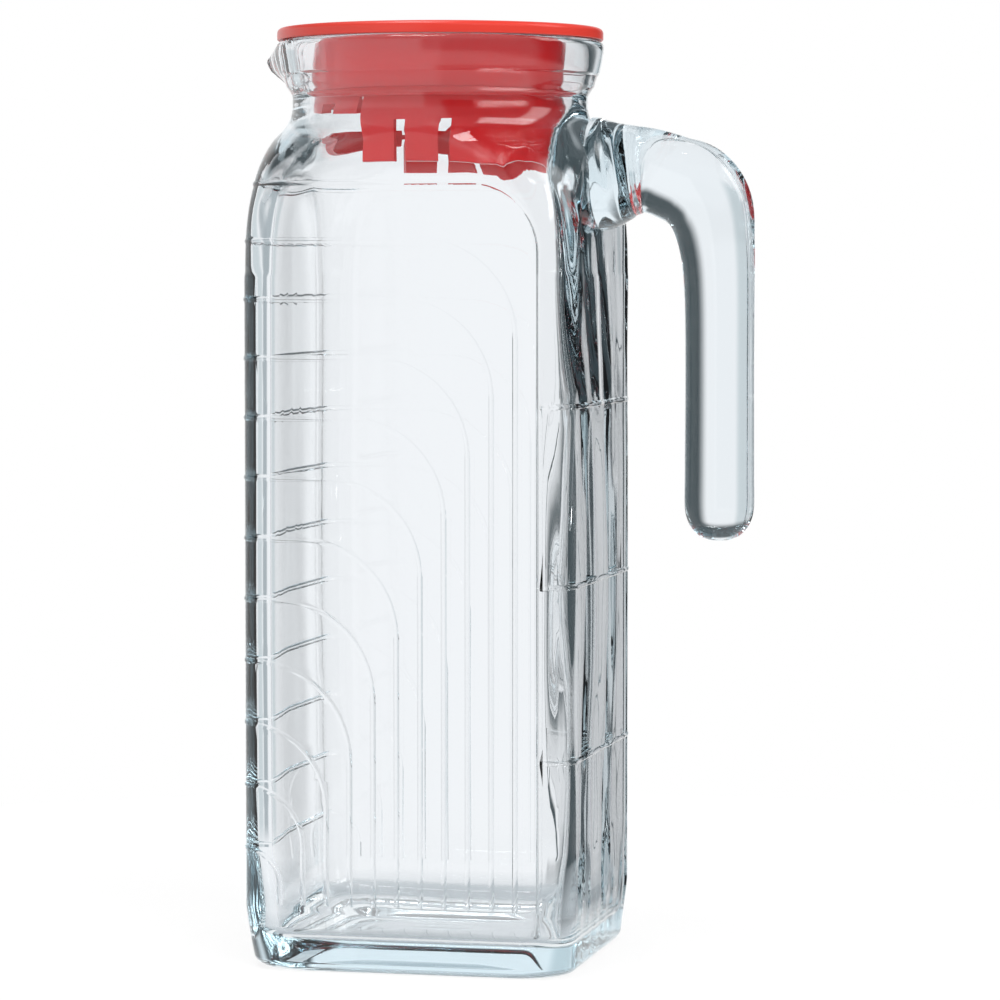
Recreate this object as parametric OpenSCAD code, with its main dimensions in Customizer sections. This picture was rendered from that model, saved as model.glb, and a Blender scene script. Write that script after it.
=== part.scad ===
// Square-sided glass jug for a refrigerator door, with a hooked glass handle and a turning plug lid.
// The origin is the middle of the underside. X runs from the spout to the handle, and the jug stands up along Z.

/* [Body] */
// Width of the body, from the spout side to the handle side
body_w = 88; // [84:1:100]
// Depth of the body, from the front to the back
body_d = 82; // [80:1:96]
// Radius of the four upright corners, outside
corner_r = 8; // [6:0.5:12]
// Radius of the four upright corners, inside
corner_in_r = 12; // [8:0.5:16]
// Thickness of the glass walls
wall = 3.8; // [3:0.1:4.4]
// Thickness of the glass under the floor
base_t = 8; // [6:0.5:12]
// Radius that rounds the floor into the walls
floor_r = 7; // [4:0.5:9]
// Height over which the hollow draws in to the floor
floor_draw_h = 24; // [16:1:40]
// How far the hollow is drawn in at the floor
floor_in = 1.2; // [0.4:0.1:2]
// Height of the drawn-in heel
heel_h = 16.5; // [12:0.5:24]
// How far the heel is drawn in at its foot
heel_in = 1.8; // [0.6:0.2:3]
// Radius of the bottom edge
heel_r = 5; // [3:0.5:6]
// Width of the ring that the jug stands on
foot_w = 6; // [4:0.5:9]
// Depth of the hollow under the base
foot_hollow = 1.2; // [0.6:0.2:2]

/* [Neck and collar] */
// Height of the glass, from the table to the rim
jug_h = 242; // [232:1:260]
// Height of the straight part of the neck
neck_h = 2.2; // [1:0.2:6]
// Radius of the hollow curve between the neck and the shoulder
flare_r = 9.5; // [7:0.5:11]
// Height of the collar's upper band
band_h = 9; // [7:0.5:12]
// How far the rim stands out past the front and back
collar_over = 2.3; // [0:0.1:4]
// How far the upper band draws in, from the rim to its lower edge
band_draft = 1.3; // [0.4:0.1:2]
// Height of the collar's lower band
step_h = 3.4; // [2:0.2:5]
// How far the lower band is set in from the upper one
step_in = 0.6; // [0.3:0.1:1]
// How far the lower band draws in towards its lower edge
step_draft = 0.7; // [0.2:0.1:1.4]
// Height of the slope from the lower band to the neck
blend_h = 2.4; // [1:0.2:4]
// How far the neck is set in from the lower band
neck_in = 1.7; // [0.8:0.1:2.2]
// Radius that rounds the rim, outside
rim_r = 1.6; // [0.8:0.1:2]
// Thickness of the collar at the rim
rim_wall = 4.1; // [3.4:0.1:4.6]
// How far the mouth draws in down to the foot of the upper band
mouth_draft = 1; // [0.6:0.1:2]
// Height of the slope from the mouth to the neck's bore
seat_h = 3; // [2:0.2:4]

/* [Spout] */
// How far the spout stands out past the rim
spout_reach = 4.2; // [2:0.2:7]
// Radius of the spout's tip, seen from above
spout_tip_r = 4; // [3:0.2:5]
// Thickness of the spout's wall at its tip
spout_wall = 2.6; // [2:0.1:2.8]
// How far the lip dips under the rim
lip_dip = 2.8; // [1:0.2:4]
// Height of the rim over the underside of the tip
nose_h = 7.6; // [6:0.2:9]
// Depth of the pouring channel
channel_h = 7; // [5:0.2:8.6]

/* [Ribs] */
// Number of arched ribs
arch_count = 12; // [4:1:12]
// Distance between the legs of two arches
leg_pitch = 6.2; // [4:0.1:6.4]
// Distance from the rim down to the outermost arch
arch_depth = 38; // [36:1:60]
// Drop from one arch to the next
arch_drop = 15.6; // [8:0.2:15.8]
// Radius of the arches
arch_r = 24; // [12:1:26]
// Radius of the outermost arch
outer_arch_r = 18; // [12:1:26]
// Width of a rib
rib_w = 1.4; // [0.8:0.1:2]
// How far a rib stands out
rib_out = 0.6; // [0.3:0.1:0.8]
// Height of the ribs' lower ends over the heel
rib_foot = 1.2; // [0.5:0.1:4]
// Number of level lines on the handle side
level_count = 3; // [1:1:3]
// Distance from the rim down to the top level line
level_depth = 95; // [76:1:110]
// Distance between two level lines
level_pitch = 45.5; // [20:0.5:50]

/* [Handle] */
// Diameter of the hanging leg
leg_d = 18.4; // [14:0.2:20]
// Width of the finger gap between the body and the leg
finger_gap = 21.8; // [19:0.2:30]
// Length of the leg, from its rounded end to the bend
leg_l = 82.5; // [50:0.5:104]
// Distance from the rim down to the start of the bend
elbow_depth = 48.5; // [46:0.5:56]
// Radius of the bend, at the middle of the glass
elbow_r = 13.5; // [11:0.5:15]
// Slope of the arm, in degrees
arm_slope = 10; // [4:1:14]
// Diameter of the arm at the body
arm_d = 20.6; // [19:0.2:22]
// How far the arm reaches over the bend's end
arm_lap = 0.5; // [0.3:0.1:1]
// How far the arm's start stands out round the bend's end
arm_lip = 0.2; // [0.2:0.05:0.4]
// Diameter of the gob that joins the arm to the body
gob_d = 27; // [24:0.5:30]
// Distance from the rim down to the gob's middle
gob_depth = 38.5; // [36:0.5:42]

/* [Lid] */
// How far the disc's edge stays inside the rim's edge
cap_inset = 0.3; // [0:0.1:2]
// Thickness of the disc
cap_t = 3.2; // [2.4:0.1:5]
// Rounding of the disc's top edge
cap_edge_r = 1.3; // [0.5:0.1:1.6]
// Height of the ring under the disc that holds the plug
spigot_h = 3; // [2:0.2:6]
// Thickness of that ring
spigot_t = 1.6; // [1:0.1:3]
// Gap between the plug and the neck's bore
plug_gap = 2; // [1.5:0.1:4]
// Thickness of the plug's wall
plug_t = 2.2; // [1.8:0.1:3]
// Height of the plug
plug_h = 32; // [28:0.5:36]
// Height of the pouring window, up from the plug's lower edge
window_h = 11; // [8:0.5:12]
// Half the width of the pouring window, in degrees
window_half = 62; // [50:1:66]
// How far the window's middle stands past the spout, in degrees
lid_turn = 4; // [-20:1:20]
// Width of the slots beside the window
slot_w = 3; // [1.5:0.1:4]
// Height of the slots beside the window
slot_h = 9.5; // [6:0.5:12]
// Angle between two slots, in degrees
slot_pitch = 20; // [14:1:24]
// Slots on each side of the window
slot_count = 2; // [1:1:3]
// Width of the slit that ends the window
slit_w = 1.3; // [0.8:0.1:2]
// Height of the slit
slit_h = 16; // [13:0.5:16.5]
// Width of the notches in the window's upper edge
notch_w = 5.4; // [3:0.2:8]
// Height of those notches
notch_h = 3.4; // [1.5:0.1:4]

/* [Seal ring] */
// Height of the ring
ring_h = 3.4; // [2.4:0.1:4]
// Depth of the plug's groove
groove_depth = 1.2; // [0.8:0.1:1.4]
// Distance from the neck's bore down to the ring's top, under the seat
ring_drop = 0.2; // [0:0.1:1]
// Clearance of the ring in the neck
ring_fit = 0.1; // [0.05:0.01:0.1]
// Clearance of the ring in its groove
groove_fit = 0.05; // [0.03:0.01:0.1]

/* [Hidden] */
$fn = 96;

// Overrun that cuts and trims reach past a face
over = 1;
// Angle at which the hollow curve of the neck turns into the round shoulder
shoulder_turn = 45;
// Straight steps in each arc of the shoulder's sweep
shoulder_steps = 6;
// How far the shoulder's sweep passes the upright corners
shoulder_over = 0.5;

// Heights of the neck and collar, from the rim down
band_z = jug_h - band_h;
step_z = band_z - step_h;
blend_z = step_z - blend_h;
flare_z = blend_z - neck_h;
bore_top_z = band_z - seat_h;

// Radii of the collar, from the rim down, of the neck and of what it holds
band_top_r = body_d / 2 + collar_over;
band_foot_r = band_top_r - band_draft;
step_top_r = band_foot_r - step_in;
step_foot_r = step_top_r - step_draft;
neck_r = step_foot_r - neck_in;
bore_r = neck_r - wall;
mouth_top_r = band_top_r - rim_wall;
mouth_foot_r = mouth_top_r - mouth_draft;

// Centre and start of the hollow curve, and where it meets the shoulder
flare_x = neck_r + flare_r;
turn_x = flare_x - flare_r * cos(shoulder_turn);
turn_z = flare_z - flare_r * sin(shoulder_turn);

// Radius and centre of the shoulder's sweep, which reaches just past the upright corners
corner_reach = norm([body_w / 2 - corner_r, body_d / 2 - corner_r]) + corner_r + shoulder_over;
shoulder_r = (corner_reach - turn_x) / (1 - cos(shoulder_turn));
shoulder_x = turn_x - shoulder_r * cos(shoulder_turn);
shoulder_z = turn_z - shoulder_r * sin(shoulder_turn);

// Place of the outermost leg, on the flat of the front, and heights of the top arch and the top level line
first_leg_x = body_w / 2 - corner_r - rib_w / 2;
arch_top = jug_h - arch_depth;
level_top = jug_h - level_depth;

// The leg's axis, the bend's centre and the gob's height
leg_x = body_w / 2 + finger_gap + leg_d / 2;
elbow_x = leg_x - elbow_r;
elbow_z = jug_h - elbow_depth;
gob_z = jug_h - gob_depth;
// Length of the arm, from the bend's end to the inside of the neck's wall
arm_l = (elbow_x + elbow_r * sin(arm_slope) - bore_r) / cos(arm_slope);

// Radii of the disc and the plug, and the places of the seal ring
cap_r = band_top_r - cap_inset;
plug_r = bore_r - plug_gap;
ring_top_z = bore_top_z - ring_drop;
groove_r = plug_r - groove_depth;
ring_out_r = bore_r - ring_fit;
ring_in_r = groove_r + groove_fit;

module rounded_box_outline(w, d, r) {
    square([w - 2 * r, d], center = true);
    square([w, d - 2 * r], center = true);
    for (x = [-1, 1], y = [-1, 1]) {
        translate([x * (w / 2 - r), y * (d / 2 - r)]) circle(r);
    }
}

// Upright outline, seen along Y or X: rounded at its foot, and leaning out from there past the upright walls
module upright_outline(w, foot_z, draw_h, draw_in, r) {
    half = w / 2 - draw_in;
    lean = draw_in / (draw_h - r);
    top = half + lean * (flare_z + over - foot_z - r);
    polygon([
        [half, foot_z + r],
        [top, flare_z + over],
        [-top, flare_z + over],
        [-half, foot_z + r]
    ]);
    translate([r - half, foot_z]) square([2 * (half - r), r]);
    for (x = [-1, 1]) {
        translate([x * (half - r), foot_z + r]) circle(r);
    }
}

// Points of an arc of the shoulder's outline, between two angles
function arc(x, z, r, from, to) = [
    for (i = [0 : shoulder_steps])
        let (turn = from + (to - from) * i / shoulder_steps)
        [x + r * cos(turn), z + r * sin(turn)]
];

// Half outline of the shoulder's sweep, moved out by grow, or in where grow is negative
module shoulder_outline(grow) {
    polygon(concat(
        [[0, 0], [shoulder_x + shoulder_r + grow, 0]],
        arc(shoulder_x, shoulder_z, shoulder_r + grow, 0, shoulder_turn),
        arc(flare_x, flare_z, grow - flare_r, shoulder_turn, 0),
        [[0, flare_z]]
    ));
}

// The body under the neck as one block, moved out or in by grow, with its floor at foot_z
module block(grow, r, foot_z, draw_h, draw_in, foot_r) {
    w = body_w + 2 * grow;
    d = body_d + 2 * grow;
    intersection() {
        translate([0, 0, foot_z]) linear_extrude(flare_z - foot_z) rounded_box_outline(w, d, r);
        rotate([90, 0, 0]) linear_extrude(d + 2 * over, center = true) {
            upright_outline(w, foot_z, draw_h, draw_in, foot_r);
        }
        rotate([90, 0, 90]) linear_extrude(w + 2 * over, center = true) {
            upright_outline(d, foot_z, draw_h, draw_in, foot_r);
        }
        rotate_extrude() shoulder_outline(grow);
    }
}

module outer_block(grow) {
    block(grow, corner_r + grow, 0, heel_h, heel_in, heel_r);
}

module neck_and_collar() {
    rotate_extrude() {
        polygon([
            [0, flare_z],
            [neck_r, flare_z],
            [neck_r, blend_z],
            [step_foot_r, step_z],
            [step_top_r, band_z],
            [band_foot_r, band_z],
            [band_top_r, jug_h - rim_r],
            [band_top_r - rim_r, jug_h - rim_r],
            [0, jug_h - rim_r]
        ]);
        translate([0, jug_h - rim_r]) square([band_top_r - rim_r, rim_r]);
        translate([band_top_r - rim_r, jug_h - rim_r]) circle(rim_r);
    }
}

// Drop-shaped outline: a circle round the axis, drawn out to a small circle at the spout
module spout_outline(r, tip_x, tip_r) {
    side = acos((r - tip_r) / tip_x);
    circle(r);
    translate([-tip_x, 0]) circle(tip_r);
    polygon([
        [-r * cos(side), r * sin(side)],
        [-tip_x - tip_r * cos(side), tip_r * sin(side)],
        [-tip_x - tip_r * cos(side), -tip_r * sin(side)],
        [-r * cos(side), -r * sin(side)]
    ]);
}

spout_x = band_top_r + spout_reach;
spout_tip_x = spout_x - spout_tip_r;

module spout() {
    intersection() {
        translate([0, 0, step_z]) linear_extrude(jug_h - step_z) {
            spout_outline(mouth_foot_r, spout_tip_x, spout_tip_r);
        }
        rotate([90, 0, 0]) linear_extrude(2 * band_top_r, center = true) {
            polygon([
                [0, step_z],
                [-neck_r, step_z],
                [-spout_x, jug_h - nose_h],
                [-spout_x, jug_h - lip_dip],
                [-mouth_top_r - rim_r, jug_h],
                [0, jug_h]
            ]);
        }
    }
}

module channel() {
    translate([0, 0, jug_h - channel_h]) linear_extrude(channel_h + over) {
        intersection() {
            spout_outline(bore_r, spout_tip_x, spout_tip_r - spout_wall);
            translate([-body_w, -body_w / 2]) square([body_w, body_w]);
        }
    }
}

// The hollow inside: body, neck and mouth
module hollow() {
    block(-wall, corner_in_r, base_t, floor_draw_h, floor_in, floor_r);
    rotate_extrude() polygon([
        [0, flare_z - over],
        [bore_r, flare_z - over],
        [bore_r, bore_top_z],
        [mouth_foot_r, band_z],
        [mouth_top_r, jug_h],
        [mouth_top_r, jug_h + over],
        [0, jug_h + over]
    ]);
    channel();
}

// Middle line of arch i: its leg's place, its height and its bend
function arch_x(i) = first_leg_x - i * leg_pitch;
function arch_z(i) = arch_top - i * arch_drop;
function arch_bend(i) = i == 0 ? outer_arch_r : min(arch_r, arch_x(i) + body_w / 2);

module arch(i) {
    x = arch_x(i) - arch_bend(i);
    z = arch_z(i) - arch_bend(i);
    rotate([90, 0, 0]) linear_extrude(body_d + 2 * over, center = true) {
        translate([arch_x(i) - rib_w / 2, heel_h + rib_foot]) square([rib_w, z - heel_h - rib_foot]);
        translate([x, z]) intersection() {
            difference() {
                circle(arch_bend(i) + rib_w / 2);
                circle(arch_bend(i) - rib_w / 2);
            }
            square(arch_bend(i) + rib_w);
        }
        translate([-body_w / 2 - over, arch_z(i) - rib_w / 2]) square([x + body_w / 2 + over, rib_w]);
    }
}

module level_line(i) {
    translate([body_w / 2 - corner_r, -body_d / 2, level_top - i * level_pitch - rib_w / 2]) {
        cube([corner_r + over, body_d, rib_w]);
    }
}

module ribs() {
    intersection() {
        outer_block(rib_out);
        union() {
            for (i = [0 : arch_count - 1]) {
                arch(i);
            }
            for (i = [0 : level_count - 1]) {
                level_line(i);
            }
        }
    }
}

// Hollow under the base, inside the ring that the jug stands on
module foot_cut() {
    inset = 2 * (heel_in + heel_r + foot_w);
    translate([0, 0, -over]) linear_extrude(foot_hollow + over) {
        rounded_box_outline(body_w - inset, body_d - inset, corner_r);
    }
}

module glass_body() {
    color([0.72, 0.84, 0.85]) difference() {
        union() {
            outer_block(0);
            neck_and_collar();
            spout();
            ribs();
        }
        hollow();
        foot_cut();
    }
}

module handle() {
    color([0.66, 0.82, 0.83]) difference() {
        union() {
            translate([leg_x, 0, elbow_z - leg_l + leg_d / 2]) {
                sphere(d = leg_d);
                cylinder(h = leg_l - leg_d / 2, d = leg_d);
            }
            translate([elbow_x, 0, elbow_z]) {
                rotate([90, 0, 0]) rotate_extrude(angle = 90 - arm_slope) {
                    translate([elbow_r, 0]) circle(d = leg_d);
                }
                rotate([0, arm_slope - 90, 0]) translate([elbow_r, 0, -arm_lap]) {
                    cylinder(h = arm_l + arm_lap, d1 = leg_d + 2 * arm_lip, d2 = arm_d);
                }
            }
            translate([body_w / 2, 0, gob_z]) sphere(d = gob_d);
        }
        outer_block(0);
        neck_and_collar();
    }
}

module lid_cap() {
    color([0.93, 0.27, 0.18]) translate([0, 0, jug_h]) {
        rotate_extrude() {
            square([cap_r - cap_edge_r, cap_t]);
            square([cap_r, cap_t - cap_edge_r]);
            translate([cap_r - cap_edge_r, cap_t - cap_edge_r]) circle(cap_edge_r);
            translate([plug_r - plug_t - spigot_t, -spigot_h]) square([spigot_t, spigot_h]);
        }
    }
}

// A radial cut through the plug's wall, open at its lower edge
module plug_cut(turn, w, foot, h) {
    rotate([0, 0, 180 + lid_turn + turn]) translate([0, -w / 2, foot]) cube([2 * plug_r, w, h]);
}

// A wedge through the plug's wall, from the lower edge up, as wide as the window
module window_cut(foot) {
    reach = 2 * plug_r / cos(window_half / 2);
    rotate([0, 0, 180 + lid_turn]) translate([0, 0, foot - over]) linear_extrude(window_h + over) {
        polygon([
            [0, 0],
            [reach * cos(window_half), -reach * sin(window_half)],
            [reach, 0],
            [reach * cos(window_half), reach * sin(window_half)]
        ]);
    }
}

module lid_plug() {
    foot = jug_h - plug_h;
    color([0.84, 0.19, 0.17]) difference() {
        rotate_extrude() difference() {
            translate([plug_r - plug_t, foot]) square([plug_t, plug_h]);
            translate([groove_r, ring_top_z - ring_h - groove_fit]) {
                square([groove_depth + over, ring_h + 2 * groove_fit]);
            }
        }
        window_cut(foot);
        for (side = [-1, 1]) {
            plug_cut(side * window_half, slit_w, foot - over, slit_h + over);
            plug_cut(side * window_half * 2 / 3, notch_w, foot, window_h + notch_h);
            for (i = [1 : slot_count]) {
                plug_cut(side * (window_half + i * slot_pitch), slot_w, foot - over, slot_h + over);
            }
        }
    }
}

module seal_ring() {
    bead_r = ring_h / 2;
    color([0.8, 0.17, 0.16]) rotate_extrude() intersection() {
        union() {
            translate([ring_in_r, ring_top_z - ring_h]) square([ring_out_r - bead_r - ring_in_r, ring_h]);
            translate([ring_out_r - bead_r, ring_top_z - bead_r]) circle(bead_r);
        }
        translate([ring_in_r, ring_top_z - ring_h]) square([ring_out_r - ring_in_r, ring_h]);
    }
}

glass_body();
handle();
lid_cap();
lid_plug();
seal_ring();
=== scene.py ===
"""Looks of a square-sided glass jug with a hooked handle and a red turning plug lid.

The shapes are worked out in millimetres. Lamps, floor and camera are in metres.
"""
import math

import bmesh
import bpy
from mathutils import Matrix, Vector


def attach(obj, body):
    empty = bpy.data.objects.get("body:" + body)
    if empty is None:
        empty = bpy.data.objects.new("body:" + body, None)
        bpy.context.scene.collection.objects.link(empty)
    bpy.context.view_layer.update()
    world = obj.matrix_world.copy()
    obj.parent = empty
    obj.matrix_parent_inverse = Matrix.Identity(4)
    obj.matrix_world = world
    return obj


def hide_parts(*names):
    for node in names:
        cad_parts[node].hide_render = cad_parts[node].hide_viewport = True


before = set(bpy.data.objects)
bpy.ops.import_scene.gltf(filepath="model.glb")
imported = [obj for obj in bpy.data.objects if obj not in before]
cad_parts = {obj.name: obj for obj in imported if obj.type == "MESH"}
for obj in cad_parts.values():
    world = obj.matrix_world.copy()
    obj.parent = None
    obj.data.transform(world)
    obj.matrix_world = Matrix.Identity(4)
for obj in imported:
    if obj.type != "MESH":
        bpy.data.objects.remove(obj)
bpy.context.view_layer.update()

MM = 0.001

# Body
HALF_W = 44.0
HALF_D = 41.0
CORNER_R = 8.0
CORNER_IN_R = 8.5
CORNER_IN_R_HANDLE = 7.0
WALL = 3.8
FLOOR_Z = 8.0
FLOOR_R = 4.0
FLOOR_DRAW_H = 24.0
FLOOR_IN = 1.2
HEEL_H = 16.5
HEEL_IN = 0.9
HEEL_R = 3.4
FOOT_CORNER_MORE = 5.0
FOOT_W = 6.0
FOOT_HOLLOW = 1.2

# Neck and shoulder
RIM_Z = 242.0
FLARE_Z = 225.0
FLARE_R = 9.5
NECK_R = 39.0
NECK_FOOT_Z = 226.2
SHOULDER_TURN = math.radians(45)
SHOULDER_OVER = 0.5
SHOULDER_THICK = 1.2
SHOULDER_THICK_Z = 216.0
SHOULDER_THICK_H = 6.0
SOFT_OUT = 3.0
SOFT_IN = 4.0

TURN_X = NECK_R + FLARE_R - FLARE_R * math.cos(SHOULDER_TURN)
TURN_Z = FLARE_Z - FLARE_R * math.sin(SHOULDER_TURN)
CORNER_REACH = math.hypot(HALF_W - CORNER_R, HALF_D - CORNER_R) + CORNER_R + SHOULDER_OVER
SHOULDER_R = (CORNER_REACH - TURN_X) / (1 - math.cos(SHOULDER_TURN))
SHOULDER_X = TURN_X - SHOULDER_R * math.cos(SHOULDER_TURN)
SHOULDER_Z = TURN_Z - SHOULDER_R * math.sin(SHOULDER_TURN)

# Spout
SPOUT_REACH = 47.4
SPOUT_TIP_R = 3.6
SPOUT_SPREAD = math.radians(24)
LIP_DIP = 2.8

# Waves round the neck's inner side: size, number round the neck, phase
NECK_WAVES = ((0.09, 7, 1), (0.06, 13, 2.2))

# Thick glass below the handle's root: depth, height where it starts, and reach to the sides
ROOT_DEPTH = 5.4
ROOT_DEPTH_Z = 148
ROOT_DEPTH_H = 54
ROOT_DEPTH_Y = 42
ROOT_DEPTH_EDGE = 14
ROOT_DEPTH_STOP_X = 34.8

# Unevenness of the skins on the handle's side
SIDE_COS = 0.5
SIDE_Y = 47
SIDE_EDGE = 7
RIPPLE_OUT = 0.09
SWELL_OUT = 0.22
DRAW_SHARE = 0.4
SLOW_IN = 1.9
TOOTH_IN = 0.12
WEDGE_SLOPE = 0.04
WEDGE_Y = 34
SWIRL_SHARE = 0.12
SWIRL_Z = 184
SWIRL_H = 30
SWIRL_W = 28

# Rings under the foot, from the middle out: inset from the heel's foot, and height
FOOT_RINGS = (
    (30, FOOT_HOLLOW + 0.9),
    (22, FOOT_HOLLOW + 0.75),
    (14, FOOT_HOLLOW + 0.4),
    (FOOT_W + 2.6, FOOT_HOLLOW),
    (FOOT_W + 1.4, FOOT_HOLLOW - 0.25),
    (FOOT_W + 0.4, 0.35),
    (FOOT_W - 0.8, 0.0),
    (FOOT_W - 3, 0.0),
    (0.6, 0.0),
)

# Rings of the collar, up its outside and down its inside: radius, height, how far the
# spout stands out, and how far it sinks
COLLAR_RINGS = (
    (39.0, 227.2, 0, 0),
    (39.25, 227.9, 0, 0),
    (39.9, 228.9, 0, 0),
    (40.6, 229.8, 41.0, 0),
    (40.9, 230.8, 42.0, 0),
    (41.2, 231.9, 43.1, 0),
    (41.4, 232.6, 44.0, 0),
    (41.8, 232.95, 44.5, 0),
    (42.1, 233.4, 45.0, 0),
    (42.4, 234.6, 46.3, 0.1),
    (42.7, 236.0, SPOUT_REACH - 0.4, 0.3),
    (42.9, 237.4, SPOUT_REACH, 0.6),
    (43.1, 238.6, SPOUT_REACH - 0.1, 1.2),
    (43.2, 240.0, SPOUT_REACH - 0.6, 2.1),
    (43.1, 240.9, SPOUT_REACH - 1.2, LIP_DIP),
    (42.7, 241.5, SPOUT_REACH - 1.9, LIP_DIP),
    (42.0, 241.9, SPOUT_REACH - 2.7, LIP_DIP),
    (41.3, RIM_Z, SPOUT_REACH - 3.5, LIP_DIP),
    (40.4, RIM_Z, SPOUT_REACH - 4.4, LIP_DIP),
    (39.8, 241.8, SPOUT_REACH - 5.0, LIP_DIP),
    (39.3, 241.3, SPOUT_REACH - 5.4, LIP_DIP),
    (39.0, 240.4, SPOUT_REACH - 5.7, 2.1),
    (38.6, 238.0, SPOUT_REACH - 6.2, 0.8),
    (38.1, 235.4, SPOUT_REACH - 7.2, 0),
    (37.5, 233.2, 38.2, 0),
    (37.0, 231.4, 0, 0),
    (36.4, 229.8, 0, 0),
    (35.8, 228.2, 0, 0),
    (35.4, 227.0, 0, 0),
)

# Rings of the inner floor: inset from the wall, and drop
INNER_FLOOR_RINGS = ((10.5, 0.05), (16, 0.1), (24, 0.1), (33, 0.1))

# Ribs
ARCH_COUNT = 12
ARCH_TOP_Z = 204.2
ARCH_DROP = 14.85
ARCH_DROP_MORE = 0.075
FIRST_LEG_X = 35.8
LEG_PITCH = 6.25
ARCH_R = 25.0
OUTER_ARCH_R = 18.0
RIB_W = 1.5
LEG_OUT = 0.3
LEVEL_OUT = 0.08
CORNER_OUT = 0.3
CORNER_OUT_W = 12
RIB_SINK = 0.7
RIB_FOOT_Z = 17.6
RIB_STEP = 2.2
LEG_STEP = RIB_STEP * 2.2
BEND_STEPS = 1.6
CORNER_STEP = 0.035
LEVEL_LINES = (147.0, 101.0, 56.0)
LEVEL_STEPS = 24
# Section of a rib: place across it in widths, and height in reliefs
RIB_PROFILE = (
    (-0.5, 0.0), (-0.36, 0.45), (-0.2, 0.85), (0.0, 1.0), (0.2, 0.85), (0.36, 0.45), (0.5, 0.0),
)

# Handle: place along X and Z of the middle, radius in the handle's plane and across it
HANDLE = (
    (75.0, 111.3, 2.6, 2.6),
    (75.0, 112.6, 5.6, 5.4),
    (75.0, 115.6, 8.0, 7.8),
    (75.0, 120.0, 9.1, 9.0),
    (75.0, 130.0, 9.1, 9.1),
    (75.0, 155.0, 9.0, 9.1),
    (74.9, 176.0, 9.2, 9.2),
    (74.2, 188.0, 9.9, 9.6),
    (72.4, 197.5, 11.4, 10.4),
    (68.6, 203.0, 11.8, 10.8),
    (63.0, 205.6, 11.2, 10.6),
    (57.0, 207.6, 11.0, 10.6),
    (52.4, 207.8, 11.8, 11.8),
    (48.6, 207.4, 13.2, 14.4),
    (45.6, 207.0, 14.4, 17.6),
    (42.6, 206.8, 15.0, 19.6),
)
HANDLE_SIDES = 40
HANDLE_STEPS = 6
# The handle's end is held in the wall: where that starts, and how deep in the wall it lies
HANDLE_END_X = HALF_W - WALL / 2 + 1.5
HANDLE_END_SINK = WALL * 0.45

# Lid
CAP_R = 43.0
CAP_T = 3.2
CAP_EDGE_R = 1.3
CAP_FOOT_R = 0.4
SPIGOT_H = 3.0
SPIGOT_IN_R = 29.4
PLUG_R = 33.2
PLUG_T = 2.2
PLUG_FOOT = 210.0
PLUG_BEVEL = 0.25
BULGE_Z = 217.5
BULGE_TOP_Z = 219
BULGE_STEP = 1.1
BULGE_STEPS = 9
BULGE_R = 44
GROOVE_IN = 1.3
GROOVE_FOOT = 226.45
GROOVE_TOP = 229.85
LID_TURN = 4.0
WINDOW_H = 11.0
WINDOW_HALF = 62.0
# Cuts on each side of the window: direction, width, foot and height
PLUG_CUTS = (
    (WINDOW_HALF, 1.3, PLUG_FOOT - 1, 17),
    (WINDOW_HALF * 2 / 3, 5.4, PLUG_FOOT, WINDOW_H + 3.4),
    (WINDOW_HALF + 20, 3.0, PLUG_FOOT - 1, 10.5),
    (WINDOW_HALF + 40, 3.0, PLUG_FOOT - 1, 10.5),
)
RING_Z = 228.1
RING_HALF_H = 1.64

# Sharpest edges that still shade smooth, in degrees
SMOOTH_ANGLE = 32
RING_SMOOTH_ANGLE = 40

# Materials
GLASS_IOR = 1.5
GLASS_TINT = (0.42, 0.81, 0.94)
GLASS_DENSITY = 5.2
# Colour, cloudier colour and roughness
CAP_PLASTIC = ((0.58, 0.036, 0.022), (0.54, 0.032, 0.02), 0.3)
PLUG_PLASTIC = ((0.84, 0.014, 0.018), (0.78, 0.012, 0.015), 0.16)
RING_RUBBER = ((0.82, 0.016, 0.018), (0.76, 0.014, 0.015), 0.2)

# Studio, as the glass sees it
BEHIND = (0.90, 0.915, 0.94)
WHITE = (1.0, 1.0, 1.0)
SLATE = (0.05, 0.068, 0.076)
PALE_SLATE = (0.62, 0.68, 0.71)
MID_SLATE = (0.4, 0.45, 0.48)
MIRRORED_DARK = (0.04, 0.045, 0.05)
MIRRORED_CEILING = (0.25, 0.26, 0.27)
SOFTBOX_LIGHT = 7.0
STRIP_LIGHT = 4.0
DIFFUSE_LIGHT = 0.69
THROUGH_LIGHT = 1.2

# Floor
FLOOR_SIZE = 0.34
FLOOR_PAPER = (0.95, 0.95, 0.95)
# painted shade: the floor glows in this darker tone for rays through the glass, standing in for
# the shadow round the jug
FLOOR_PAINTED_SHADE_THROUGH_GLASS = (0.48, 0.53, 0.57)
FLOOR_GLOW = 0.84
FLOOR_FADE = (0.055, 0.12)

# Lamps: place, aim, size, power, and whether the glass shows them
LAMPS = {
    "key": ((1.36, -1.27, 1.2), (0, 0, 0.2), (1.9, 0.9), 38, False),
    "top": ((-0.15, -0.35, 1.35), (0, 0, 0.2), (0.5, 0.4), 7, True),
}

# Camera
CAMERA_TURN = 13.8
CAMERA_YAW = -0.81
CAMERA_PITCH = 3.2
CAMERA_DISTANCE = 1.113
CAMERA_HEIGHT = 0.183
FOCAL_PIXELS = 4199
IMAGE_PIXELS = 1000


# Helpers


def rise(x, start, span):
    """0 up to start, 1 from start + span."""
    return min(max((x - start) / span, 0), 1)


def fall(x, end, span):
    """1 up to end - span, 0 from end."""
    return min(max((end - x) / span, 0), 1)


def bell(x, middle, width):
    return math.exp(-(((x - middle) / width) ** 2))


def spread(a, b, count):
    """Even steps from a to b, without b."""
    return [a + (b - a) * i / count for i in range(count)]


def activate(obj):
    for o in bpy.context.selected_objects:
        o.select_set(False)
    obj.select_set(True)
    bpy.context.view_layer.objects.active = obj


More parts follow.
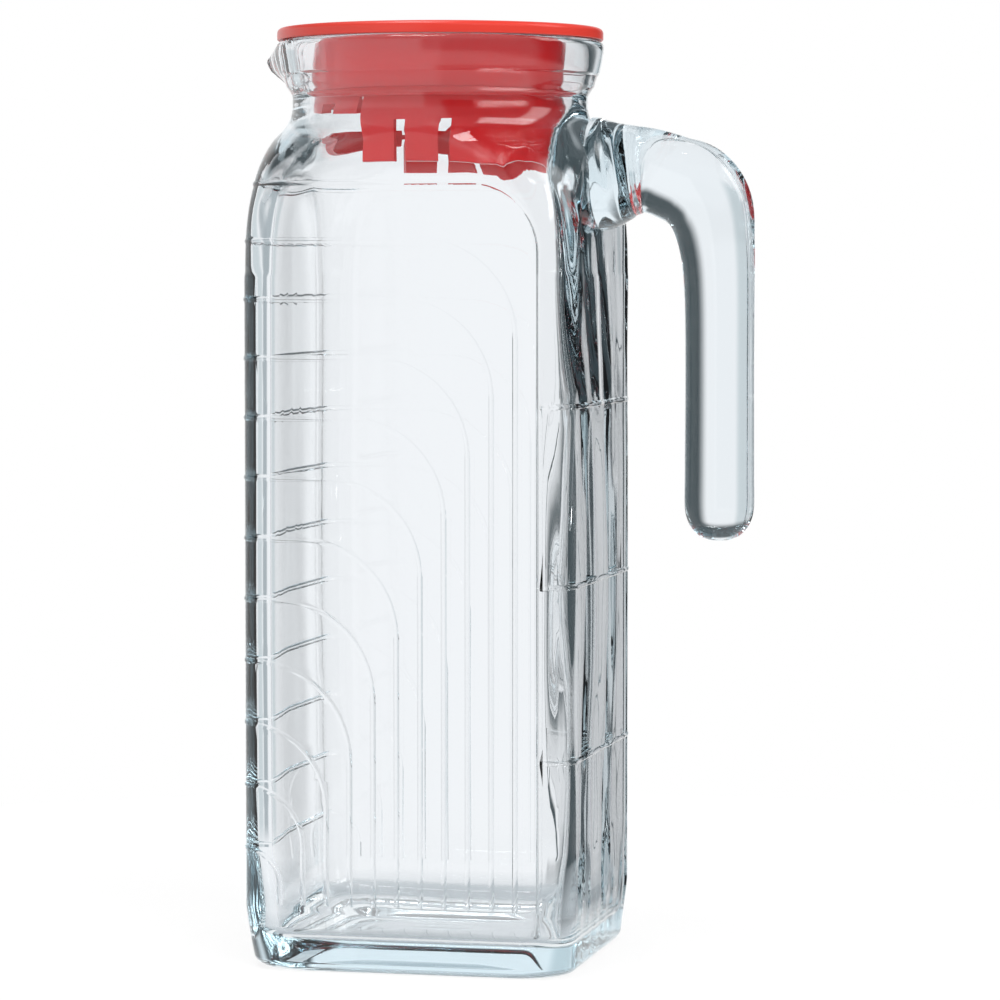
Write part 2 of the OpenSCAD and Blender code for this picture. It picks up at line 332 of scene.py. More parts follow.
def apply_modifier(obj, kind, **settings):
    """Adds one modifier, sets it and applies it."""
    activate(obj)
    mod = obj.modifiers.new(kind.title(), kind)
    for key, value in settings.items():
        setattr(mod, key, value)
    bpy.ops.object.modifier_apply(modifier=mod.name)


def mesh_object(name, points, faces):
    """A new object from points in millimetres and faces, with its normals outwards."""
    mesh = bpy.data.meshes.new(name)
    mesh.from_pydata([Vector(p) * MM for p in points], [], faces)
    mesh.update()
    obj = bpy.data.objects.new(name, mesh)
    bpy.context.scene.collection.objects.link(obj)
    bm = bmesh.new()
    bm.from_mesh(mesh)
    bmesh.ops.remove_doubles(bm, verts=bm.verts, dist=0.002 * MM)
    bmesh.ops.recalc_face_normals(bm, faces=bm.faces)
    bm.to_mesh(mesh)
    bm.free()
    return obj


def tube(name, rings):
    """A closed piece from rings with the same number of points, in order."""
    n = len(rings[0])
    points = [p for ring in rings for p in ring]
    faces = [
        (k * n + i, k * n + (i + 1) % n, (k + 1) * n + (i + 1) % n, (k + 1) * n + i)
        for k in range(len(rings) - 1)
        for i in range(n)
    ]
    last = (len(rings) - 1) * n
    faces.append(tuple(range(n))[::-1])
    faces.append(tuple(last + i for i in range(n)))
    return mesh_object(name, points, faces)


def join(objects):
    activate(objects[0])
    for o in objects:
        o.select_set(True)
    bpy.ops.object.join()
    return objects[0]


def boolean(obj, tool, operation):
    apply_modifier(obj, "BOOLEAN", object=tool, operation=operation, solver="MANIFOLD")
    bpy.data.objects.remove(tool)


def finish_shading(obj, angle):
    activate(obj)
    bpy.ops.object.shade_smooth_by_angle(angle=math.radians(angle))
    apply_modifier(obj, "WEIGHTED_NORMAL", keep_sharp=True, weight=60)


# Outline of the glass


def rounded_box_radius(turn, half_w, half_d, r):
    """Distance from the axis to a rounded rectangle in one direction."""
    c = abs(math.cos(turn))
    s = abs(math.sin(turn))
    if s * half_w <= (half_d - r) * c:
        return half_w / c
    if c * half_d <= (half_w - r) * s:
        return half_d / s
    cx = half_w - r
    cy = half_d - r
    return cx * c + cy * s + math.sqrt(r * r - (cx * s - cy * c) ** 2)


def soft_min(a, b, k):
    h = max(k - abs(a - b), 0) / k
    return min(a, b) - h * h * k / 4


def sweep_radius(z, grow):
    """Radius of the shoulder's sweep at a height, moved out by grow."""
    if z >= FLARE_Z:
        return NECK_R + grow
    if z >= TURN_Z + grow * math.sin(SHOULDER_TURN):
        r = FLARE_R - grow
        return NECK_R + FLARE_R - math.sqrt(max(r * r - (FLARE_Z - z) ** 2, 0))
    r = SHOULDER_R + grow
    if z <= SHOULDER_Z:
        return SHOULDER_X + r
    return SHOULDER_X + math.sqrt(r * r - (z - SHOULDER_Z) ** 2)


def draw_in(z, foot_z, draw_h, draw, r):
    """How far the walls are drawn in near their foot."""
    up = z - foot_z
    if up >= draw_h:
        return 0.0
    if up >= r:
        return draw * (draw_h - up) / (draw_h - r)
    return draw + r - math.sqrt(max(r * r - (r - up) ** 2, 0))


def outer_radius(turn, z):
    d = draw_in(z, 0, HEEL_H, HEEL_IN, HEEL_R)
    r = CORNER_R + FOOT_CORNER_MORE * max(1 - z / HEEL_H, 0) ** 1.5
    box = rounded_box_radius(turn, HALF_W - d, HALF_D - d, r) + foot_wave(turn, z)
    if z < SHOULDER_Z:
        return box
    return soft_min(box, sweep_radius(z, 0), SOFT_OUT)


def neck_wave(turn, z):
    """Unevenness of the neck's inner side."""
    share = rise(z, 219, 6) * fall(z, 240, 4)
    return share * sum(size * math.sin(count * turn + phase) for size, count, phase in NECK_WAVES)


def handle_side(turn):
    """Place across the handle's side, and how fully the direction lies on it."""
    if math.cos(turn) < SIDE_COS:
        return 0.0, 0.0
    y = HALF_W * math.tan(turn)
    return y, math.cos(turn) ** 2 * fall(abs(y), SIDE_Y, SIDE_EDGE)


def foot_wave(turn, z):
    """Waves of the outer skin on the handle's side: fine near the foot, broad higher up."""
    y, side = handle_side(turn)
    side *= fall(z, 196, 20) * rise(z, 2, 3)
    near = 0.3 + 0.7 * fall(z, 70, 40)
    fine = near * RIPPLE_OUT * (1 + math.sin(y / 1.7 + 1.2 * math.sin(z / 6) + z / 11))
    broad = 1 + math.sin(y / 2.6 + 0.9 * math.sin(z / 14) + z / 19)
    return -side * (fine + rise(z, 130, 30) * SWELL_OUT * broad)


def draw_wave(turn, z):
    """Slow unevenness of the inner skin, strongest on the handle's side."""
    inside = rise(z, 10, 22) * fall(z, 218, 12)
    y, side = handle_side(turn)
    below_shoulder = fall(z, 216, 12)

    # long streaks, up to the middle of the jug
    high = rise(z, 125, 35) * below_shoulder
    fine = 0.2 + 0.5 * rise(z, 120, 40)
    streak = fine * math.sin(y / 2.9 + 1.5 * math.sin(z / 13) + 0.4)
    streak *= 0.6 + 0.4 * math.sin(z / 11 + y / 7)
    slow = SLOW_IN * math.sin(y / 5.2 + 0.8 * math.sin(z / 21) + 0.4)
    slow *= 0.7 + 0.3 * math.sin(z / 15 + y / 9)
    low = DRAW_SHARE * side * (streak + slow) * (1 - high)

    # a slope and finer waves above them, and a swirl below the handle's root
    tooth = TOOTH_IN * math.sin(y / 4 + 0.8 * math.sin(z / 23) + z / 9)
    wedge = -WEDGE_SLOPE * max(min(y, WEDGE_Y), -WEDGE_Y)
    root = bell(z, SWIRL_Z, SWIRL_H) * bell(y, 0, SWIRL_W) * below_shoulder
    swirl = root * (1.5 * math.sin(y / 4.6 + z / 9) + 0.7 * math.sin(z / 4.1 - y / 3.7) - 0.9)

    plain = 0.05 * math.sin(3 * turn + z / 33) + 0.04 * math.sin(5 * turn - z / 21)
    whole = low + SWIRL_SHARE * swirl * side + plain + high * side * (tooth + wedge)
    return inside * whole + neck_wave(turn, z)


def root_depth(turn, z, box):
    """How far the wall thickens inwards below the handle's root."""
    if math.cos(turn) <= SIDE_COS:
        return 0.0
    across = fall(abs(HALF_W * math.tan(turn)), ROOT_DEPTH_Y, ROOT_DEPTH_EDGE)
    depth = ROOT_DEPTH * rise(z, ROOT_DEPTH_Z, ROOT_DEPTH_H) * across * across * (3 - 2 * across)
    return min(depth, max(box * math.cos(turn) - ROOT_DEPTH_STOP_X, 0))


def inner_radius(turn, z):
    d = draw_in(z, FLOOR_Z, FLOOR_DRAW_H, FLOOR_IN, FLOOR_R)
    r = CORNER_IN_R_HANDLE if math.cos(turn) > 0 else CORNER_IN_R
    box = rounded_box_radius(turn, HALF_W - WALL - d, HALF_D - WALL - d, r)
    if z >= SHOULDER_Z:
        box = soft_min(box, sweep_radius(z, -WALL), SOFT_IN)
    thick = SHOULDER_THICK * bell(z, SHOULDER_THICK_Z, SHOULDER_THICK_H)
    return box - thick - root_depth(turn, z, box) + draw_wave(turn, z)


def off_spout(turn):
    """Angle from the spout's direction."""
    return abs(math.remainder(turn - math.pi, 2 * math.pi))


def drop_radius(angle, r, tip_x, tip_r):
    """Distance from the axis to a circle drawn out to a small circle at the spout."""
    if tip_x <= r - tip_r:
        return r
    side = math.acos((r - tip_r) / tip_x)
    if angle >= side:
        return r
    line = r / math.cos(side - angle)
    reach = tip_r ** 2 - (tip_x * math.sin(angle)) ** 2
    if reach < 0:
        return line
    return min(line, tip_x * math.cos(angle) + math.sqrt(reach))


def turns():
    """Directions round the jug, closer together at the corners and the spout."""
    corner = spread(28, 57, 26) + spread(57, 90, 11)
    quarter = spread(0, 28, 10) + corner
    fine = spread(0, 12, 12) + spread(12, 28, 8) + corner
    whole = quarter + [180 - a for a in reversed(fine)]
    back = [180 + a for a in fine] + [360 - a for a in reversed(quarter)]
    whole = sorted(set(round(a, 4) % 360 for a in whole + back + [90, 180, 270]))
    return [math.radians(a) for a in whole]


def collar_point(turn, z, r, reach, dip):
    """Point of the collar: reach is how far the spout stands out here, dip how far it sinks."""
    angle = off_spout(turn)
    radius = drop_radius(angle, r, reach - SPOUT_TIP_R, SPOUT_TIP_R) if reach > r else r
    sunk = dip * max(0, 1 - angle / SPOUT_SPREAD) ** 1.5
    return (radius * math.cos(turn), radius * math.sin(turn), z - sunk)


def bend_heights(r, angles):
    """Heights over the start of a rounded edge."""
    return [r * (1 - math.cos(math.radians(a))) for a in angles]


def jug_shell():
    """Outer and inner skins of the jug as one closed mesh of rings."""
    around = turns()
    rings = []

    def ring(radius, z):
        rings.append([(radius(t) * math.cos(t), radius(t) * math.sin(t), z) for t in around])

    for inset, z in FOOT_RINGS:
        inset += HEEL_IN + HEEL_R
        r = max(CORNER_R + FOOT_CORNER_MORE - 0.6 * inset, 2)
        ring(lambda t: rounded_box_radius(t, HALF_W - inset, HALF_D - inset, r), z)

    heights = bend_heights(HEEL_R, (6, 20, 35, 50, 65, 80))
    heights += [6.5, 9, 12, 14.5, 15.8, HEEL_H, 17.2] + spread(20, 180, 16)
    heights += spread(180, 215, 24) + spread(215, FLARE_Z, 12) + [FLARE_Z, NECK_FOOT_Z]
    for z in heights:
        ring(lambda t: outer_radius(t, z), z)

    for r, z, reach, dip in COLLAR_RINGS:
        wave = neck_wave if r < NECK_R else lambda t, z: 0
        rings.append([collar_point(t, z, r + wave(t, z), reach, dip) for t in around])

    heights = [NECK_FOOT_Z] + spread(FLARE_Z, 212, 16) + spread(212, 180, 24)
    heights += spread(180, 32, 25) + [32, 28, 24, 20, 17, 15]
    heights += [FLOOR_Z + h for h in bend_heights(FLOOR_R, (80, 65, 50, 36, 22, 10))]
    for z in heights:
        ring(lambda t: inner_radius(t, z), z)

    for inset, drop in INNER_FLOOR_RINGS:
        w = HALF_W - WALL - inset
        d = HALF_D - WALL - inset
        r = max(CORNER_IN_R - 0.5 * inset, 3)
        ring(lambda t: rounded_box_radius(t, w, d, r), FLOOR_Z - drop)

    return tube("jug_glass", rings)


# Ribs and handle


def skin_point(turn, z):
    """Point of the outer skin, and the way out from it."""
    def at(t, height):
        r = outer_radius(t, height)
        return Vector((r * math.cos(t), r * math.sin(t), height))

    here = at(turn, z)
    return here, (at(turn + 0.004, z) - here).cross(at(turn, z + 0.2) - here).normalized()


def rib(name, places):
    """A rounded ridge that follows the skin: places give direction, height and relief."""
    spots = [skin_point(turn, z) for turn, z, _ in places]
    rings = []
    for i, (here, normal) in enumerate(spots):
        before = spots[max(i - 1, 0)][0]
        after = spots[min(i + 1, len(spots) - 1)][0]
        side = (after - before).normalized().cross(normal).normalized()
        top = [here + side * (x * RIB_W) + normal * (y * places[i][2]) for x, y in RIB_PROFILE]
        under = [here + side * (x * RIB_W) - normal * RIB_SINK for x in (0.5, -0.5)]
        rings.append(top + under)
    return tube(name, rings)


def arch_places(i):
    """Leg, bend and level run of one arch, round the spout side to the back."""
    leg_x = FIRST_LEG_X - i * LEG_PITCH
    crown = ARCH_TOP_Z - ARCH_DROP * i - ARCH_DROP_MORE * i * i
    bend = OUTER_ARCH_R if i == 0 else min(ARCH_R, leg_x + HALF_W - 2)
    flat = []
    z = RIB_FOOT_Z
    while z < crown - bend:
        flat.append((leg_x, z, LEG_OUT))
        z += LEG_STEP
    steps = max(int(bend * BEND_STEPS / RIB_STEP), 6)
    for k in range(steps + 1):
        a = math.pi / 2 * k / steps
        x = leg_x - bend * (1 - math.cos(a))
        relief = LEG_OUT + (LEVEL_OUT - LEG_OUT) * k / steps
        flat.append((x, crown - bend + bend * math.sin(a), relief))
    x = leg_x - bend - RIB_STEP
    while x > CORNER_R - HALF_W:
        near = max(0, 1 - (x + HALF_W - CORNER_R) / CORNER_OUT_W)
        flat.append((x, crown, LEVEL_OUT + (CORNER_OUT - LEVEL_OUT) * near))
        x -= RIB_STEP
    half = [(math.atan2(-HALF_D, x), z, relief) for x, z, relief in flat]
    start = half[-1][0] % (2 * math.pi)
    count = max(int((start - math.pi) / CORNER_STEP), 4)
    half += [
        (start + (math.pi - start) * k / count, crown, CORNER_OUT) for k in range(1, count)
    ]
    back = [(-turn, z, relief) for turn, z, relief in reversed(half)]
    return half + [(math.pi, crown, CORNER_OUT)] + back


def level_places(z):
    """A level line across the handle's side."""
    reach = math.atan2(HALF_D, HALF_W - CORNER_R)
    return [(reach * (k / LEVEL_STEPS - 1), z, CORNER_OUT) for k in range(2 * LEVEL_STEPS + 1)]


def spline(keys, steps):
    """Smooth curve through rows of numbers."""
    out = []
    for i in range(len(keys) - 1):
        p = [Vector(keys[min(max(j, 0), len(keys) - 1)]) for j in (i - 1, i, i + 1, i + 2)]
        slope = p[2] - p[0]
        second = 2 * p[0] - 5 * p[1] + 4 * p[2] - p[3]
        third = 3 * p[1] - p[0] - 3 * p[2] + p[3]
        for t in spread(0, 1, steps):
            out.append(0.5 * (2 * p[1] + slope * t + second * t * t + third * t ** 3))
    return out + [Vector(keys[-1])]


def handle_rod():
    rows = spline(HANDLE, HANDLE_STEPS)
    rings = []
    for i, (x, z, r_in, r_y) in enumerate(rows):
        before = rows[max(i - 1, 0)]
        after = rows[min(i + 1, len(rows) - 1)]
        along = Vector((after[0] - before[0], 0, after[1] - before[1])).normalized()
        across = Vector((-along.z, 0, along.x))
        rings.append([
            Vector((x, 0, z)) + across * (r_in * math.cos(a)) + Vector((0, r_y * math.sin(a), 0))
            for a in spread(0, 2 * math.pi, HANDLE_SIDES)
        ])
    obj = tube("handle_rod", rings)
    for v in obj.data.vertices:
        if v.co.x / MM < HANDLE_END_X:
            wall = outer_radius(0, v.co.z / MM) - HANDLE_END_SINK
            v.co.x = max(v.co.x, wall * MM)
    return obj


def make_jug():
    jug = jug_shell()
    ribs = [rib(f"rib_{i}", arch_places(i)) for i in range(ARCH_COUNT)]
    ribs += [rib(f"level_{k}", level_places(z)) for k, z in enumerate(LEVEL_LINES)]
    boolean(jug, handle_rod(), "UNION")
    boolean(jug, join(ribs), "UNION")
    finish_shading(jug, SMOOTH_ANGLE)
    return jug


# Lid


def revolve(name, profile, steps):
    """A closed piece from a profile of radius and height, drawn with the spin tool."""
    bpy.ops.mesh.primitive_plane_add(size=2 * MM, location=(0, 0, 0))
    obj = bpy.context.object
    obj.name = name
    bm = bmesh.new()
    verts = [bm.verts.new((r * MM, 0, z * MM)) for r, z in profile]
    for a, b in zip(verts, verts[1:] + verts[:1]):
        if a.co.x > 1e-7 or b.co.x > 1e-7:
            bm.edges.new((a, b))
    bm.to_mesh(obj.data)
    bm.free()
    activate(obj)
    bpy.ops.object.mode_set(mode="EDIT")
    bpy.ops.mesh.select_all(action="SELECT")
    bpy.ops.mesh.spin(
        steps=steps, angle=2 * math.pi, center=(0, 0, 0), axis=(0, 0, 1), dupli=False
    )
    bpy.ops.mesh.select_all(action="SELECT")
    bpy.ops.mesh.remove_doubles(threshold=0.005 * MM)
    bpy.ops.mesh.normals_make_consistent(inside=False)
    bpy.ops.object.mode_set(mode="OBJECT")
    return obj


def arc_points(x, z, r, start, end, steps):
    """Points of an arc round x, z, from one angle to another in degrees."""
    return [
        (x + r * math.cos(math.radians(a)), z + r * math.sin(math.radians(a)))
        for a in [start + (end - start) * k / steps for k in range(steps + 1)]
    ]


def make_cap():
    top = RIM_Z + CAP_T
    foot = RIM_Z - SPIGOT_H
    out = PLUG_R - PLUG_T
    profile = [(0, top), (CAP_R - 12, top)]
    profile += arc_points(CAP_R - CAP_EDGE_R, top - CAP_EDGE_R, CAP_EDGE_R, 90, 0, 6)
    profile += arc_points(CAP_R - CAP_FOOT_R, RIM_Z + CAP_FOOT_R, CAP_FOOT_R, 0, -90, 3)
    profile += [(out, RIM_Z), (out, foot + 0.2), (out - 0.3, foot)]
    profile += [(SPIGOT_IN_R + 0.3, foot), (SPIGOT_IN_R, foot + 0.3)]
    profile += [(SPIGOT_IN_R, RIM_Z), (0, RIM_Z)]
    cap = revolve("lid_disc", profile, 192)
    finish_shading(cap, SMOOTH_ANGLE)
    return cap


def cutter(turn, width, foot, height):
    """A bar through the plug's wall."""
    bpy.ops.mesh.primitive_cube_add(size=1)
    obj = bpy.context.object
    a = math.radians(180 + LID_TURN + turn)
    for v in obj.data.vertices:
        x, y, z = v.co
        along = 24 + 14 * (x + 0.5)
        across = y * width
        v.co = Vector((
            along * math.cos(a) - across * math.sin(a),
            along * math.sin(a) + across * math.cos(a),
            foot + (z + 0.5) * height,
        )) * MM
    return obj


def window_cutter():
    """A wedge through the plug's wall, under the window's upper edge."""
    steps = 24
    points = []
    for z in (PLUG_FOOT - 1, PLUG_FOOT + WINDOW_H):
        for r in (27.0, 36.0):
            for k in range(steps + 1):
                a = math.radians(180 + LID_TURN - WINDOW_HALF + 2 * WINDOW_HALF * k / steps)
                points.append((r * math.cos(a), r * math.sin(a), z))
    n = steps + 1
    faces = []
    for k in range(steps):
        faces.append((k, k + 1, n + k + 1, n + k))
        faces.append((2 * n + k, 3 * n + k, 3 * n + k + 1, 2 * n + k + 1))
        faces.append((k, 2 * n + k, 2 * n + k + 1, k + 1))
        faces.append((n + k, n + k + 1, 3 * n + k + 1, 3 * n + k))
    faces.append((0, n, 3 * n, 2 * n))
    faces.append((n - 1, 3 * n - 1, 4 * n - 1, 2 * n - 1))
    return mesh_object("window_cutter", points, faces)


def make_plug():
    foot = PLUG_FOOT
    inner = PLUG_R - PLUG_T
    profile = [(PLUG_R - 0.4, foot), (PLUG_R - 0.1, foot + 0.3), (PLUG_R - 0.1, foot + 7)]
    for k in range(BULGE_STEPS):
        z = BULGE_Z + k * BULGE_STEP
        profile.append((PLUG_R - max(z - BULGE_TOP_Z, 0) ** 2 / BULGE_R, z))
    profile += [(PLUG_R - GROOVE_IN, GROOVE_FOOT), (PLUG_R - GROOVE_IN, GROOVE_TOP)]
    profile += [(PLUG_R - 0.4, 229.9), (PLUG_R - 0.2, 230.2), (PLUG_R - 0.2, RIM_Z)]
    profile += [(inner, RIM_Z), (inner, foot + 0.3), (inner + 0.3, foot)]
    plug = revolve("lid_stopper", profile, 192)
    boolean(plug, window_cutter(), "DIFFERENCE")
    for side in (-1, 1):
        for turn, width, low, height in PLUG_CUTS:
            boolean(plug, cutter(side * turn, width, low, height), "DIFFERENCE")
    apply_modifier(
        plug, "BEVEL", width=PLUG_BEVEL * MM, segments=2,
        limit_method="ANGLE", angle_limit=math.radians(50),
    )
    finish_shading(plug, SMOOTH_ANGLE)
    return plug


def make_ring():
    z = RING_Z
    h = RING_HALF_H
    profile = [(32.06, z - 1.5), (32.2, z - h), (34.4, z - h)]
    profile += arc_points(34.55, z - 1.15, 0.48, -80, -20, 4)
    for k in range(-1, 7):
        up = k / 6 * 1.9
        profile.append((35.05 - max(up, 0) ** 2 / 14, z - 0.7 + up))
    profile += arc_points(34.35, z + 1.2, 0.42, 30, 80, 3)
    profile += [(34.3, z + h), (32.2, z + h), (32.06, z + 1.5)]
    ring = revolve("lid_ring", profile, 160)
    finish_shading(ring, RING_SMOOTH_ANGLE)
    return ring


# Nodes shared by materials and world


def math_node(tree, kind, a, b, clamp=False):
    node = tree.nodes.new("ShaderNodeMath")
    node.operation = kind
    node.use_clamp = clamp
    for socket, value in zip(node.inputs, (a, b)):
        if isinstance(value, (int, float)):
            socket.default_value = value
        else:
            tree.links.new(value, socket)
    return node.outputs[0]


def map_range(tree, value, low, high, kind):
    """0 to 1 while value goes from low to high."""
    node = tree.nodes.new("ShaderNodeMapRange")
    node.interpolation_type = kind
    tree.links.new(value, node.inputs["Value"])
    node.inputs["From Min"].default_value = low
    node.inputs["From Max"].default_value = high
    return node.outputs["Result"]


def blend(tree, factor, a, b):
    """From colour a to colour b, each a tuple or a socket."""
    node = tree.nodes.new("ShaderNodeMix")
    node.data_type = "RGBA"
    tree.links.new(factor, node.inputs["Factor"])
    for socket, value in (("A", a), ("B", b)):
        if isinstance(value, tuple):
            node.inputs[socket].default_value = (*value, 1)
        else:
            tree.links.new(value, node.inputs[socket])
    return node.outputs["Result"]


def noise(tree, coords, scale, detail, stretch=(1, 1, 1)):
    mapping = tree.nodes.new("ShaderNodeMapping")
    mapping.inputs["Scale"].default_value = stretch
    tex = tree.nodes.new("ShaderNodeTexNoise")
    tex.inputs["Scale"].default_value = scale
    tex.inputs["Detail"].default_value = detail
    tree.links.new(coords.outputs["Object"], mapping.inputs["Vector"])
    tree.links.new(mapping.outputs["Vector"], tex.inputs["Vector"])
    return tex.outputs["Fac"]


def add_bump(tree, shader, height, strength, distance):
    """Bump of a depth in millimetres."""
    bump = tree.nodes.new("ShaderNodeBump")
    bump.inputs["Strength"].default_value = strength
    bump.inputs["Distance"].default_value = distance * MM
    tree.links.new(height, bump.inputs["Height"])
    tree.links.new(bump.outputs["Normal"], shader.inputs["Normal"])


# Materials


def new_material(name):
    mat = bpy.data.materials.new(name)
    mat.use_nodes = True
    return mat, mat.node_tree, mat.node_tree.nodes["Principled BSDF"]


def glass_material():
    """Clear glass, faintly uneven, that takes its tint from its depth."""
    mat, tree, shader = new_material("clear_glass")
    shader.inputs["Transmission Weight"].default_value = 1.0
    shader.inputs["IOR"].default_value = GLASS_IOR
    shader.inputs["Roughness"].default_value = 0.0
    shader.inputs["Base Color"].default_value = (*WHITE, 1)
    coords = tree.nodes.new("ShaderNodeTexCoord")
    add_bump(tree, shader, noise(tree, coords, 34, 1.5, (1, 1, 0.22)), 0.35, 0.6)
    volume = tree.nodes.new("ShaderNodeVolumeAbsorption")
    volume.inputs["Color"].default_value = (*GLASS_TINT, 1)
    volume.inputs["Density"].default_value = GLASS_DENSITY
    tree.links.new(volume.outputs["Volume"], tree.nodes["Material Output"].inputs["Volume"])
    return mat


def plastic_material(name, colour, shade, roughness):
    """Moulded plastic with a faint cloudiness and a fine satin grain."""
    mat, tree, shader = new_material(name)
    coords = tree.nodes.new("ShaderNodeTexCoord")
    tone = blend(tree, noise(tree, coords, 60, 3), colour, shade)
    tree.links.new(tone, shader.inputs["Base Color"])
    grain = noise(tree, coords, 2600, 2)
    satin = tree.nodes.new("ShaderNodeMapRange")
    satin.inputs["To Min"].default_value = roughness - 0.05
    satin.inputs["To Max"].default_value = roughness + 0.07
    tree.links.new(grain, satin.inputs["Value"])
    tree.links.new(satin.outputs["Result"], shader.inputs["Roughness"])
    add_bump(tree, shader, grain, 0.12, 0.04)
    return mat


def dress(obj, material, body, slot, *nodes):
    obj.data.materials.clear()
    obj.data.materials.append(material)
    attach(obj, body)
    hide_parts(*nodes)


# Stage, light and camera


def world_light():
    """White all round, with a dark side and ceiling that only the glass picks up."""
    world = bpy.data.worlds.new("studio")
    bpy.context.scene.world = world
    world.use_nodes = True
    tree = world.node_tree
    nodes = tree.nodes
    links = tree.links
    nodes.clear()
    coords = nodes.new("ShaderNodeTexCoord")
    rays = nodes.new("ShaderNodeLightPath").outputs

    # the direction without its height, and its height alone
    flat = nodes.new("ShaderNodeVectorMath")
    flat.operation = "MULTIPLY"
    flat.inputs[1].default_value = (1, 1, 0)
    links.new(coords.outputs["Generated"], flat.inputs[0])
    unit = nodes.new("ShaderNodeVectorMath")
    unit.operation = "NORMALIZE"
    links.new(flat.outputs[0], unit.inputs[0])
    split = nodes.new("ShaderNodeSeparateXYZ")
    links.new(coords.outputs["Generated"], split.inputs[0])

    def smooth(value, low, high):
        return map_range(tree, value, low, high, "SMOOTHSTEP")

    def sector(azimuth, half_width, soft):
        """1 within a sector of directions round the object, 0 outside it."""
        dot = nodes.new("ShaderNodeVectorMath")
        dot.operation = "DOT_PRODUCT"
        links.new(unit.outputs[0], dot.inputs[0])
        a = math.radians(azimuth)
        dot.inputs[1].default_value = (-math.sin(a), math.cos(a), 0)
        edges = [math.cos(math.radians(half_width + s)) for s in (soft, -soft)]
        return smooth(dot.outputs["Value"], *edges)

    def above(low, high):
        """0 below one elevation in degrees, 1 above another."""
        return smooth(split.outputs["Z"], *(math.sin(math.radians(a)) for a in (low, high)))

    def band(low, low_end, high_start, high):
        """1 between two elevations in degrees, with soft edges."""
        return math_node(tree, "SUBTRACT", above(low, low_end), above(high_start, high))

    def part(mask, limit):
        return math_node(tree, "MULTIPLY", mask, limit)

    def layers(colour, *masked):
        """Colour with others laid over it, each behind its mask."""
        for mask, over in masked:
            colour = blend(tree, mask, colour, over)
        return colour

    ceiling = band(15, 25, 46, 56)
    level = above(-12, -7)
    seen_through = layers(
        BEHIND,
        (part(sector(47, 15, 5), level), PALE_SLATE),
        (part(sector(76, 8, 3), level), MID_SLATE),
        (sector(-48, 37, 8), SLATE),
        (part(sector(-125, 40, 3), level), SLATE),
        (ceiling, SLATE),
        (part(sector(-85, 80, 8), above(15, 25)), SLATE),
        (part(sector(-106, 26, 4), band(12, 16, 42, 48)), (SOFTBOX_LIGHT,) * 3),
    )
    mirrored = layers(
        WHITE,
        (part(sector(-93, 87, 3), above(-17, -12)), MIRRORED_DARK),
        (ceiling, MIRRORED_CEILING),
        (part(sector(-79, 9, 4), band(12, 18, 44, 54)), (STRIP_LIGHT,) * 3),
    )
    # what a ray meets after it has left a matt surface and passed through the glass
    bounced = math_node(tree, "GREATER_THAN", rays["Diffuse Depth"], 0.5)
    through = math_node(tree, "SUBTRACT", bounced, rays["Is Diffuse Ray"], True)
    colour = layers(
        WHITE,
        (rays["Is Diffuse Ray"], (DIFFUSE_LIGHT,) * 3),
        (rays["Is Glossy Ray"], mirrored),
        (rays["Is Transmission Ray"], seen_through),
        (through, (THROUGH_LIGHT,) * 3),
        (rays["Is Camera Ray"], WHITE),
    )
    background = nodes.new("ShaderNodeBackground")
    out = nodes.new("ShaderNodeOutputWorld")
    links.new(colour, background.inputs["Color"])
    links.new(background.outputs[0], out.inputs["Surface"])


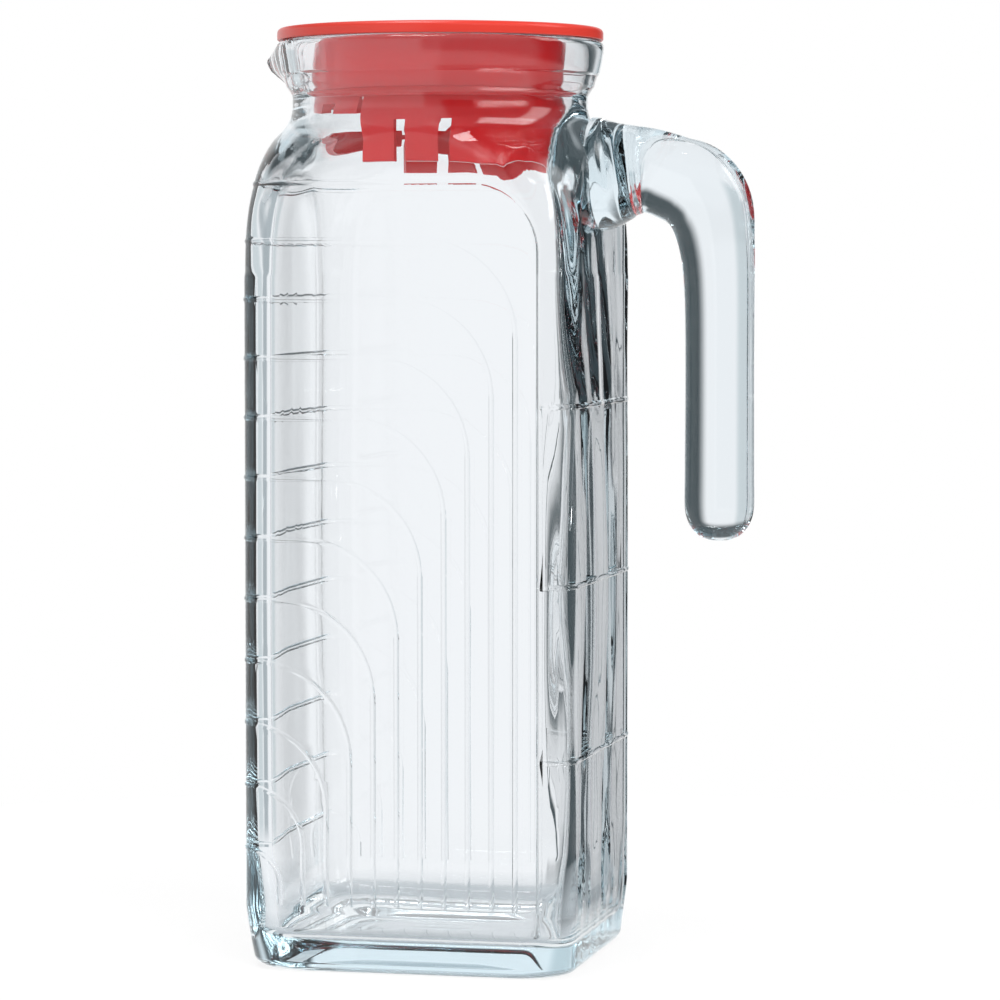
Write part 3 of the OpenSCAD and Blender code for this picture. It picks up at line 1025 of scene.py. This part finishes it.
def make_floor():
    """White paper to the camera; the glass shows it only near the jug, glowing in a darker tone
    that is painted shade.
    """
    bpy.ops.mesh.primitive_circle_add(
        radius=FLOOR_SIZE, vertices=128, fill_type="NGON", location=(0, 0, 0)
    )
    floor = bpy.context.object
    floor.name = "floor"
    mat, tree, shader = new_material("floor_paper")
    nodes = tree.nodes
    shader.inputs["Base Color"].default_value = (*FLOOR_PAPER, 1)
    shader.inputs["Roughness"].default_value = 0.9
    rays = nodes.new("ShaderNodeLightPath").outputs

    def mixed(factor, a, b):
        mix = nodes.new("ShaderNodeMixShader")
        for value, socket in zip((factor, a, b), mix.inputs):
            tree.links.new(value, socket)
        return mix.outputs[0]

    glow = nodes.new("ShaderNodeEmission")
    # painted shade: rays through the glass see the floor glow in a darker tone
    tone = blend(tree, rays["Is Transmission Ray"], WHITE, FLOOR_PAINTED_SHADE_THROUGH_GLASS)
    tree.links.new(tone, glow.inputs["Color"])
    by_glass = math_node(tree, "MAXIMUM", rays["Is Glossy Ray"], rays["Is Transmission Ray"])
    seen = math_node(tree, "MAXIMUM", rays["Is Camera Ray"], by_glass)
    share = math_node(tree, "MULTIPLY", seen, FLOOR_GLOW)
    paper = mixed(share, shader.outputs[0], glow.outputs[0])

    coords = nodes.new("ShaderNodeTexCoord")
    far = nodes.new("ShaderNodeVectorMath")
    far.operation = "LENGTH"
    tree.links.new(coords.outputs["Object"], far.inputs[0])
    fade = map_range(tree, far.outputs["Value"], *FLOOR_FADE, "LINEAR")
    gone = math_node(tree, "MULTIPLY", fade, by_glass)
    clear = nodes.new("ShaderNodeBsdfTransparent")
    whole = mixed(gone, paper, clear.outputs[0])
    tree.links.new(whole, nodes["Material Output"].inputs["Surface"])
    floor.data.materials.append(mat)


def make_lamp(name, place, aim, size, power, shown):
    """A soft lamp. Where it isn't shown, mirroring and clear surfaces pass it over."""
    data = bpy.data.lights.new(name, "AREA")
    data.shape = "RECTANGLE"
    data.size, data.size_y = size
    data.energy = power
    lamp = bpy.data.objects.new(name, data)
    lamp.location = place
    lamp.rotation_euler = (Vector(place) - Vector(aim)).to_track_quat("Z", "Y").to_euler()
    lamp.visible_glossy = shown
    lamp.visible_transmission = shown
    bpy.context.scene.collection.objects.link(lamp)


def make_camera():
    data = bpy.data.cameras.new("camera")
    data.sensor_width = 36
    data.lens = FOCAL_PIXELS * data.sensor_width / IMAGE_PIXELS
    camera = bpy.data.objects.new("camera", data)
    a = math.radians(CAMERA_TURN)
    camera.location = (
        CAMERA_DISTANCE * math.sin(a), -CAMERA_DISTANCE * math.cos(a), CAMERA_HEIGHT
    )
    camera.rotation_euler = (
        math.radians(90 - CAMERA_PITCH), 0, math.radians(CAMERA_TURN + CAMERA_YAW)
    )
    bpy.context.scene.collection.objects.link(camera)
    bpy.context.scene.camera = camera


dress(make_jug(), glass_material(), "pitcher", "glass", "glass_body", "handle")
dress(make_cap(), plastic_material("cap_plastic", *CAP_PLASTIC), "lid", "cap_plastic", "lid_cap")
dress(
    make_plug(), plastic_material("plug_plastic", *PLUG_PLASTIC),
    "lid", "plug_plastic", "lid_plug",
)
dress(make_ring(), plastic_material("ring_rubber", *RING_RUBBER), "seal", "seal", "seal_ring")

world_light()
make_floor()
for name, settings in LAMPS.items():
    make_lamp(name, *settings)
make_camera()
scene = bpy.context.scene
scene.view_settings.view_transform = "Standard"
scene.cycles.max_bounces = 32
scene.cycles.transmission_bounces = 32
scene.cycles.glossy_bounces = 12
